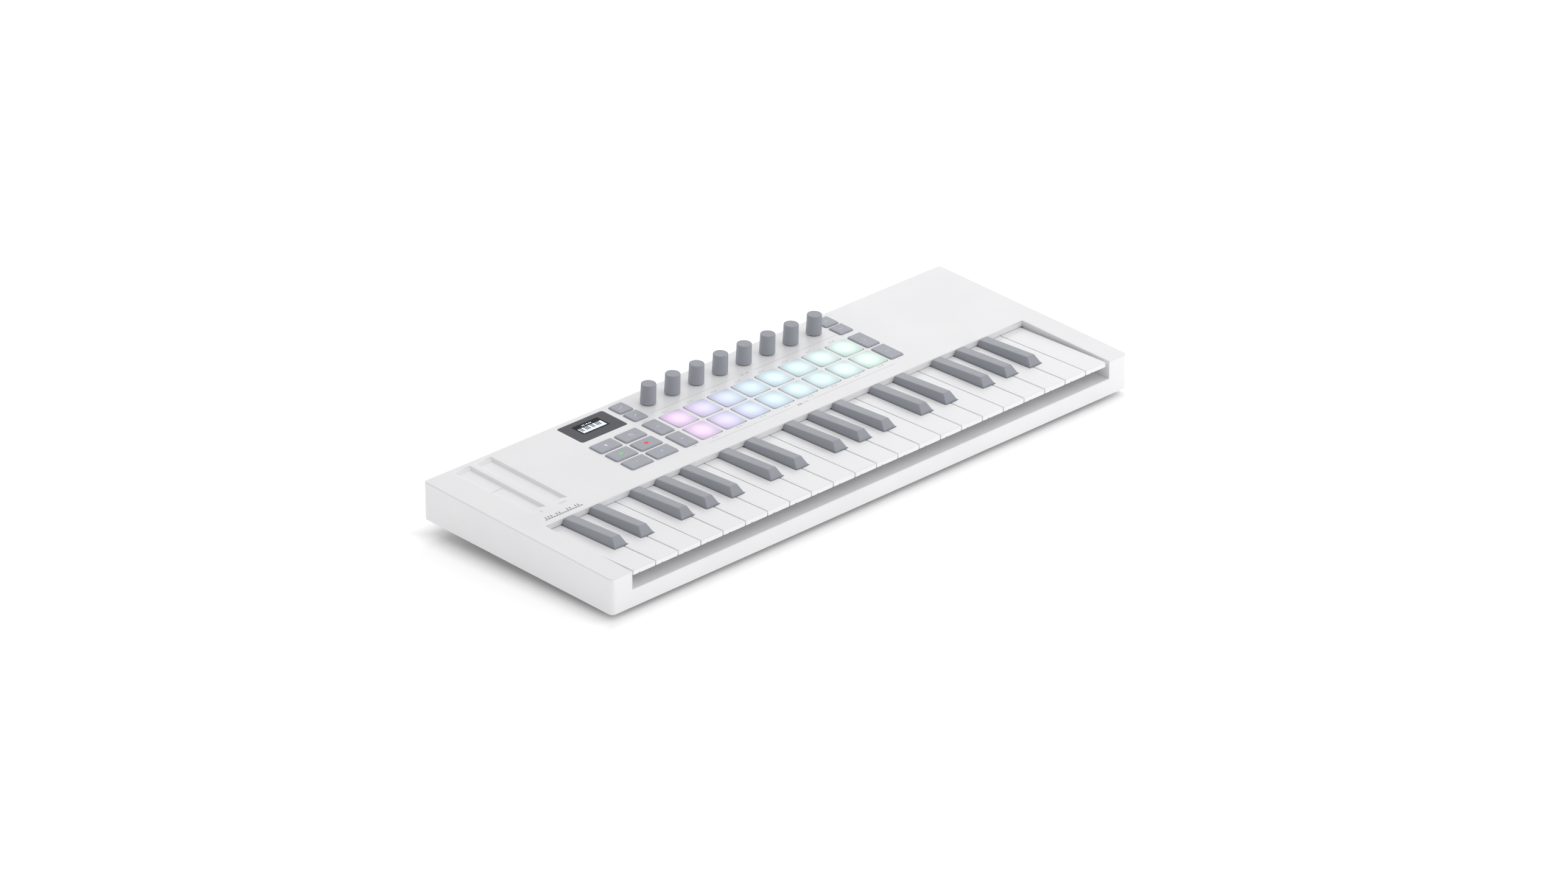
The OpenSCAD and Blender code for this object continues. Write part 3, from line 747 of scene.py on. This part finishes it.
# ---------------------------------------------------------------------------
# Pads and buttons
# ---------------------------------------------------------------------------
def add_cap(name, cap, corner, edge, draft, dome, finish, body):
    """Soft cap with a round top edge, slight draft and a low dome; UV map "plan" spans it."""
    width, depth = cap["size"]
    top = cap["top"] - dome
    profile = [(0, -2.0), (0, 0.0), (draft, top - edge)]
    for step in range(1, 5):
        turn = math.pi / 2 * step / 4
        profile.append((draft + edge * (1 - math.cos(turn)), top - edge + edge * math.sin(turn)))
    half = min(width, depth) / 2
    start = profile[-1][0]
    for share in (0.15, 0.35, 0.6, 0.85):
        inset = start + (half - start) * share
        rise = dome * (1 - (1 - share) ** 2)
        profile.append((inset, top + rise))
    rings = []
    for inset, height in profile:
        radius = max(corner - inset * 0.5, 0.12)
        ring = rounded_outline(width - 2 * inset, depth - 2 * inset, min(radius, half - inset - 0.01))
        rings.append([(x, y, height) for x, y in ring])
    bm = bmesh.new()
    made = add_rings(bm, rings)
    bm.faces.new(made[-1])
    bm.faces.new(made[0][::-1])
    layer = bm.loops.layers.uv.new("plan")
    for face in bm.faces:
        for loop in face.loops:
            loop[layer].uv = (loop.vert.co.x / width + 0.5, loop.vert.co.y / depth + 0.5)
    bm.transform(PANEL @ Matrix.Translation((*cap["at"], 0)))
    return add_piece(name, bm, finish, body)


pad_lit = pad_silicone(case_low.x + pads[0]["at"][0] * MM, case_low.x + pads[-1]["at"][0] * MM)
for i, cap in enumerate(pads):
    row = "front" if i < len(pads) // 2 else "rear"
    number = i % (len(pads) // 2) + 1
    pad = add_cap(
        f"pad_{row}_{number}", cap, corner=1.9, edge=0.35, draft=0.0, dome=0.12, finish=pad_lit,
        body="pad_mat",
    )
    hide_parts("pad_mat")

for side, buttons in (("left", left_buttons), ("right", right_buttons)):
    for i, cap in enumerate(buttons):
        button = add_cap(
            f"button_{side}_{i + 1}", cap, corner=1.15, edge=0.4, draft=0.15, dome=0.05,
            finish=button_grey, body=f"{side}_button_mat",
        )
        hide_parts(f"{side}_button_mat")


# ---------------------------------------------------------------------------
# Encoder caps
# ---------------------------------------------------------------------------
def add_encoder(number):
    """Turned cap with a round rim, a hollow foot and its spindle."""
    node = f"encoder_knob_{number}"
    joint = joints[node + "_turn"]
    middle = TO_PANEL @ Vector(joint["pos_m"])
    low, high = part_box(node)
    foot_r = (high.x - low.x) / 2 / MM
    top = max((TO_PANEL @ v.co).z for v in frame["nodes"][node].data.vertices)
    spindle_low = min((TO_PANEL @ v.co).z for v in frame["nodes"][node].data.vertices)
    rim_r = foot_r - 0.25
    rim, foot = 0.45, 0.5
    hollow_r, spindle_r = 4.2, 3.0
    profile = [(0, top - 0.06), (rim_r - 1.3, top - 0.05), (rim_r - 0.9, top - 0.01)]
    profile += round_corner(rim_r - rim, top - rim, rim, 5, 90, 0)
    profile += [(foot_r - 0.12, 5.5), (foot_r, 1.6)]
    profile += round_corner(foot_r - foot, 0.55 + foot, foot, 4, 0, -80)
    profile += [(hollow_r, 0.5), (hollow_r, 2.2), (spindle_r, 2.3), (spindle_r, spindle_low)]
    profile.append((0, spindle_low))
    bm = bmesh.new()
    add_lathe(bm, profile, 72)
    bm.transform(PANEL @ Matrix.Translation((middle.x, middle.y, 0)))
    add_piece(f"encoder_cap_{number}", bm, knob_grey, node, replaces=(node,), flat=True)


KNOBS = [name for name in frame["nodes"] if name.startswith("encoder_knob_")]
for number in range(1, len(KNOBS) + 1):
    add_encoder(number)


# ---------------------------------------------------------------------------
# Display
# ---------------------------------------------------------------------------
PANE_DROP = 0.12
PANE_CORNER = 1.9
SCREEN = (23.4, 12.6)
SCREEN_OFFSET = (0.1, 1.6)
# Heights over the pane's face of the screen, and of the bottom and top of its lit marks
SCREEN_RISE, LIT_LOW, LIT_HIGH = 0.02, 0.021, 0.05


def add_display():
    """Tinted window just below the panel, with its screen and the lit graphic."""
    nodes_box = [TO_PANEL @ v.co for v in frame["nodes"]["display_window"].data.vertices]
    low = Vector(map(min, zip(*nodes_box)))
    high = Vector(map(max, zip(*nodes_box)))
    middle = (low + high) / 2
    width, depth = high.x - low.x, high.y - low.y
    top = -PANE_DROP
    rings = []
    for inset, height in ((0, low.z), (0, top - 0.2), (0.06, top - 0.06), (0.2, top)):
        ring = rounded_outline(width - 2 * inset, depth - 2 * inset, PANE_CORNER - inset, 8)
        rings.append([(x, y, height) for x, y in ring])
    bm = bmesh.new()
    made = add_rings(bm, rings)
    bm.faces.new(made[0][::-1])
    bm.faces.new(made[-1])
    bm.transform(PANEL @ Matrix.Translation((middle.x, middle.y, 0)))
    add_piece(
        "window_pane", bm, window_gloss, "case", replaces=("display_window",), flat=True
    )
    # Screen area, a hair over the pane's face
    at = (middle.x + SCREEN_OFFSET[0], middle.y + SCREEN_OFFSET[1])
    bm = bmesh.new()
    add_prism(bm, rounded_outline(*SCREEN, 0.3, 3), top - 0.1, top + SCREEN_RISE)
    bm.transform(PANEL @ Matrix.Translation((*at, 0)))
    add_piece("screen_area", bm, screen_black, "case", flat=True)
    # Lit graphic: a small keyboard under a row of level marks
    bm = bmesh.new()
    keys, key_w, gap, notch = 15, 1.12, 0.26, 0.34
    y0, y1, y2 = -4.9, -2.6, 1.6
    left = -(keys * (key_w + gap) - gap) / 2
    for i in range(keys):
        x0 = left + i * (key_w + gap)
        sharp_left = i % 7 in (1, 2, 4, 5, 6)
        sharp_right = i % 7 in (0, 1, 3, 4, 5) and i < keys - 1
        x1 = x0 + key_w
        a0 = x0 + (notch if sharp_left else 0)
        a1 = x1 - (notch if sharp_right else 0)
        outline = [(x0, y0), (x1, y0), (x1, y1), (a1, y1), (a1, y2), (a0, y2), (a0, y1), (x0, y1)]
        outline = [p for k, p in enumerate(outline) if p != outline[k - 1]]
        add_prism(bm, outline, top + LIT_LOW, top + LIT_HIGH)
    for i in range(6):
        height = 0.5 + 0.9 * abs(math.sin(1.3 * i + 0.6))
        x0 = -4.2 + i * 1.5
        bar = moved(rounded_outline(0.7, height, 0.1, 2), x0, 3.2 + height / 2)
        add_prism(bm, bar, top + LIT_LOW, top + LIT_HIGH)
    bm.transform(PANEL @ Matrix.Translation((*at, 0)))
    add_piece("screen_graphic", bm, screen_lit, "case")


add_display()


# ---------------------------------------------------------------------------
# Touch strips
# ---------------------------------------------------------------------------
def add_strips():
    """Two sensor strips that fill the floors of their recesses."""
    bm = clean_bmesh("touch_strips")
    bm.transform(TO_PANEL)
    tops = [f for f in bm.faces if f.normal.z > 0.9 and f.calc_center_median().z > -2.0]
    floors = []
    for group in islands(tops):
        corners = [v.co for f in group for v in f.verts]
        floors.append((Vector(map(min, zip(*corners))), Vector(map(max, zip(*corners)))))
    bm.free()
    floors.sort(key=lambda pair: pair[0].x)
    for name, (low, high) in zip(("pitch", "modulation"), floors):
        width, depth = high.x - low.x + 0.34, high.y - low.y + 0.34
        middle = (low + high) / 2
        rings = []
        for inset, drop in ((0, 0.9), (0, 0.06), (0.25, 0.012), (0.6, 0.0), (2.4, 0.05), (4.0, 0.08)):
            ring = rounded_outline(width - 2 * inset, depth - 2 * inset, 0.3, 3)
            rings.append([(x, y, high.z - drop) for x, y in ring])
        bm = bmesh.new()
        made = add_rings(bm, rings)
        bm.faces.new(made[-1])
        bm.faces.new(made[0][::-1])
        bm.transform(PANEL @ Matrix.Translation((middle.x, middle.y, 0)))
        add_piece(
            f"{name}_strip", bm, strip_white, "case", replaces=("touch_strips",), flat=True
        )
    low, high = floors[0]
    middle = (low + high) / 2
    bm = bmesh.new()
    line = moved(rounded_outline(high.x - low.x, 0.28, 0.1, 2), middle.x, middle.y + 1.5)
    add_prism(bm, line, high.z - 0.1, high.z + 0.01)
    bm.transform(PANEL)
    add_piece("pitch_centre_line", bm, print_pale, "case")
    return floors


strip_floors = add_strips()


# ---------------------------------------------------------------------------
# Printed marks: numbers, lines and plain symbols in place of words
# ---------------------------------------------------------------------------
INK = 0.015


def add_number(bm, text, x, y, height, z):
    """Digits as thin raised print, centred at x, y."""
    curve = bpy.data.curves.new("digits", "FONT")
    curve.body = text
    curve.size = height / 0.72
    curve.align_x = "CENTER"
    curve.align_y = "CENTER"
    curve.extrude = INK / 2
    curve.resolution_u = 3
    holder = bpy.data.objects.new("digits", curve)
    mesh = bpy.data.meshes.new_from_object(holder)
    mesh.transform(Matrix.Translation((x, y, z + INK / 2)))
    bm.from_mesh(mesh)
    bpy.data.objects.remove(holder)
    bpy.data.curves.remove(curve)
    bpy.data.meshes.remove(mesh)


def add_marks(bm, outlines, x, y, z):
    for outline in outlines:
        add_prism(bm, moved(outline, x, y), z, z + INK)


def chevron(dx, dy, size=1.5, width=0.26):
    """Arrow head that points along (dx, dy)."""
    tip = (dx * size / 2, dy * size / 2)
    wing_a = (-dx * size / 2 - dy * size, -dy * size / 2 + dx * size)
    wing_b = (-dx * size / 2 + dy * size, -dy * size / 2 - dx * size)
    return [stroke([wing_a, tip, wing_b], width)]


def panel_print():
    """Lines, numbers and symbols on the case around the controls."""
    bm = bmesh.new()
    half = len(pads) // 2
    first, last = pads[0], pads[half - 1]
    left = first["at"][0] - first["size"][0] / 2
    right = last["at"][0] + last["size"][0] / 2
    middle = (left + right) / 2
    front_edge = first["at"][1] - first["size"][1] / 2
    rear_edge = pads[half]["at"][1] + pads[half]["size"][1] / 2
    gap, line_w = 9.6, 0.16
    for y in (front_edge - 6.2, rear_edge + 7.6):
        for x0, x1 in ((left, middle - gap), (middle + gap, right)):
            add_prism(bm, stroke([(x0, y), (x1, y)], line_w), 0, INK)
    for i, cap in enumerate(pads):
        x = cap["at"][0]
        if i < half:
            y = front_edge - 2.4
            add_square_mark(bm, x - 1.6, y, 0.85, 0.18)
        else:
            y = rear_edge + 2.5
            add_circle_mark(bm, x - 1.6, y, 0.9, 0.18)
        add_number(bm, str(i % half + 1), x + 1.4, y, 1.9, 0)
    # Small drawings of an encoder and of the pad grid in the breaks of the lines
    y = rear_edge + 7.6
    add_circle_mark(bm, middle - 2.2, y, 1.05, 0.2)
    add_marks(bm, [stroke([(0, 0.2), (0, 1.0)], 0.22)], middle - 2.2, y, 0)
    add_number(bm, "1-8", middle + 1.9, y, 1.7, 0)
    y = front_edge - 6.2
    for column in range(4):
        for row in range(2):
            dot = moved(rounded_outline(0.8, 0.8, 0.15, 2), column * 1.15, row * 1.15)
            add_marks(bm, [dot], middle - 4.6, y - 0.58, 0)
    add_number(bm, "1-16", middle + 2.8, y, 1.7, 0)
    # Arrow heads behind and in front of the two tall buttons at the left
    tall = sorted((b for b in left_buttons if b["size"][1] > b["size"][0]), key=lambda b: b["at"][1])
    for button, side, points in ((tall[-1], 1, -1), (tall[0], -1, 1)):
        x, y = button["at"]
        y += side * (button["size"][1] / 2 + 2.3)
        add_marks(bm, chevron(points, 0, 0.9, 0.2), x + points * 1.1, y, 0)
        add_marks(bm, [stroke([(-1.0, 0), (1.0, 0)], 0.2)], x - points * 0.6, y, 0)
    # Marks in front of the strips: bend arrows and a wave
    (low_a, high_a), (low_b, high_b) = strip_floors
    y = low_a.y - 7.7
    add_marks(bm, chevron(0, 1, 0.9, 0.2), (low_a.x + high_a.x) / 2, y + 0.8, 0)
    add_marks(bm, chevron(0, -1, 0.9, 0.2), (low_a.x + high_a.x) / 2, y - 0.8, 0)
    wave = [(-3 + 0.3 * i, 0.75 * math.sin(i * 0.3 * 2 * math.pi / 2)) for i in range(21)]
    add_marks(bm, [stroke(wave, 0.2)], (low_b.x + high_b.x) / 2, y, 0)
    bm.transform(PANEL)
    return bm


def add_circle_mark(bm, x, y, radius, width):
    """Printed circle."""
    outer = circle_outline(radius, 28, x, y)
    inner = circle_outline(radius - width, 28, x, y)
    add_tube(bm, outer, inner, 0, INK)


def add_square_mark(bm, x, y, half, width):
    """Printed square outline."""
    outer = moved(rounded_outline(half * 2, half * 2, 0.3, 3), x, y)
    inner = moved(rounded_outline((half - width) * 2, (half - width) * 2, 0.15, 3), x, y)
    add_tube(bm, outer, inner, 0, INK)


add_piece("panel_print", panel_print(), print_grey, "case")


def keyboard_mark():
    """A short row of little piano keys, printed near the first keys."""
    bm = bmesh.new()
    strip_low = strip_floors[0][0]
    x0, y0 = strip_low.x - 1.0, strip_low.y - 18.4
    for i in range(14):
        x = x0 + i * 2.35
        long_key = i % 7 in (0, 3, 6)
        add_prism(bm, moved(rounded_outline(1.9, 1.2, 0.15, 2), x + 1.2, y0), 0, INK)
        if not long_key or i == 0:
            add_prism(bm, moved(rounded_outline(1.05, 2.2, 0.15, 2), x + 2.35, y0 + 2.1), 0, INK)
    bm.transform(PANEL)
    return bm


add_piece("keyboard_mark", keyboard_mark(), print_grey, "case")


# ---------------------------------------------------------------------------
# Icons on the buttons
# ---------------------------------------------------------------------------
def icon_shapes(kind):
    """Outlines of a button's symbol about its middle."""
    if kind == "shift":
        return [[(0, 1.5), (1.5, 0), (0.6, 0), (0.6, -1.3), (-0.6, -1.3), (-0.6, 0), (-1.5, 0)]]
    if kind == "sliders":
        rows = ((0.9, -1.1), (-1.0, 0), (0.2, 1.1))
        bars = [stroke([(-2.1, y), (2.1, y)], 0.22) for _, y in rows]
        return bars + [moved(rounded_outline(0.5, 0.9, 0.15, 2), x, y) for x, y in rows]
    if kind == "minus":
        return [stroke([(-1.1, 0), (1.1, 0)], 0.3)]
    if kind == "plus":
        upright = [stroke([(0, -1.1), (0, -0.16)], 0.3), stroke([(0, 0.16), (0, 1.1)], 0.3)]
        return [stroke([(-1.1, 0), (1.1, 0)], 0.3)] + upright
    if kind == "dots_up":
        return [circle_outline(0.34, 14, -1.5 + i, -0.9 + 0.62 * i) for i in range(4)]
    if kind == "stairs":
        steps = [(-1.8, -1.1), (-0.7, -1.1), (-0.7, -0.2), (0.4, -0.2), (0.4, 0.7), (1.6, 0.7)]
        return [stroke(steps, 0.24)]
    if kind == "three_dots":
        return [circle_outline(0.34, 14, x, 0) for x in (-1.3, 0, 1.3)]
    heads = {"up": (0, 1), "down": (0, -1), "right": (1, 0)}
    return chevron(*heads[kind])


def add_icons(name, buttons, kinds, body):
    """White symbols on the caps of one mat, from the front row to the rear."""
    bm = bmesh.new()
    for cap, kind in zip(buttons, kinds):
        if kind:
            add_marks(bm, icon_shapes(kind), *cap["at"], cap["top"] - 0.01)
    bm.transform(PANEL)
    add_piece(name, bm, icon_white, body)


def add_lit_icon(name, cap, outline, finish, body):
    bm = bmesh.new()
    add_prism(bm, moved(outline, *cap["at"]), cap["top"] - 0.01, cap["top"] + INK)
    bm.transform(PANEL)
    add_piece(name, bm, finish, body)


LEFT_ICONS = ("minus", "plus", "down", "", "", "up", "shift", "sliders", "stairs", "dots_up")
RIGHT_ICONS = ("three_dots", "right", "down", "up")
add_icons("left_button_icons", left_buttons, LEFT_ICONS, "left_button_mat")
add_icons("right_button_icons", right_buttons, RIGHT_ICONS, "right_button_mat")
PLAY, RECORD = left_buttons[3], left_buttons[4]
add_lit_icon("play_icon", PLAY, [(-1.25, -1.5), (1.5, 0), (-1.25, 1.5)], play_green, "left_button_mat")
add_lit_icon("record_icon", RECORD, circle_outline(1.55, 28), record_red, "left_button_mat")


# ---------------------------------------------------------------------------
# Rear sockets and feet
# ---------------------------------------------------------------------------
def rear_point(name, inset):
    """A socket's axis at the rear face, drawn in by an inset in millimetres."""
    at = TO_LOCAL @ Vector(mounts[name]["pos_m"])
    return at.x, case_d - inset, at.z


def facing_rear(at):
    """Matrix that turns a shape drawn in XY to face the rear, in LOCAL millimetres."""
    return Matrix.Translation(at) @ Matrix.Rotation(-math.pi / 2, 4, "X")


# USB shell: width, height and corner radius outside and inside
USB_OUTSIDE = (8.94, 3.16, 1.5)
USB_INSIDE = (8.30, 2.52, 1.2)


def add_sleeve(name, socket, radius):
    """Bright contact sleeve round the mouth of a jack, with a rolled rim."""
    bore = mounts[socket]["dims"]["r_mm"]
    bm = bmesh.new()
    rings = [(bore + 0.02, -3.2), (bore + 0.02, 0.06), (bore + 0.1, 0.13)]
    rings += [(radius - 0.12, 0.13), (radius, 0.02), (radius, -0.06)]
    add_rings(bm, [[(x, y, z) for x, y in circle_outline(r, 48)] for r, z in rings])
    bm.transform(LOCAL @ facing_rear(rear_point(socket, 0.2)))
    return add_piece(name, bm, socket_steel, "case")


add_sleeve("midi_jack_sleeve", "midi_jack", 2.6)
add_sleeve("pedal_jack_sleeve", "pedal_jack", 4.4)


def add_usb_shell():
    """Drawn steel shell of the USB socket, round-cornered, round its opening."""
    bm = bmesh.new()
    add_tube(bm, rounded_outline(*USB_OUTSIDE), rounded_outline(*USB_INSIDE), -0.1, 0.3)
    bm.transform(LOCAL @ facing_rear(rear_point("usb_socket", 0.4)))
    add_piece("usb_socket_shell", bm, socket_steel, "case")


add_usb_shell()


FOOT_EDGE = 0.7


def foot_edge_radius(edge):
    """Round only the rim that stands on the table."""
    return FOOT_EDGE if all(vertex.co.z < TOUCH * MM for vertex in edge.verts) else 0


rounded_copy(
    "rubber_feet_soft", "rubber_feet", foot_black, "case", foot_edge_radius,
    widest=FOOT_EDGE,
)


# ---------------------------------------------------------------------------
# Finishes of the CAD nodes that show as they are
# ---------------------------------------------------------------------------
CARRIED = {
    "bottom_case": base_white, "key_frame": frame_grey, "key_contact_board": board_green,
    "rubber_contact_strip": dome_grey, "main_board": board_green, "display_module": screen_black,
    "rear_sockets": socket_black, "case_screws": screw_steel,
}
for node, finish in CARRIED.items():
    mesh = frame["nodes"][node].data
    mesh.materials.clear()
    mesh.materials.append(finish)
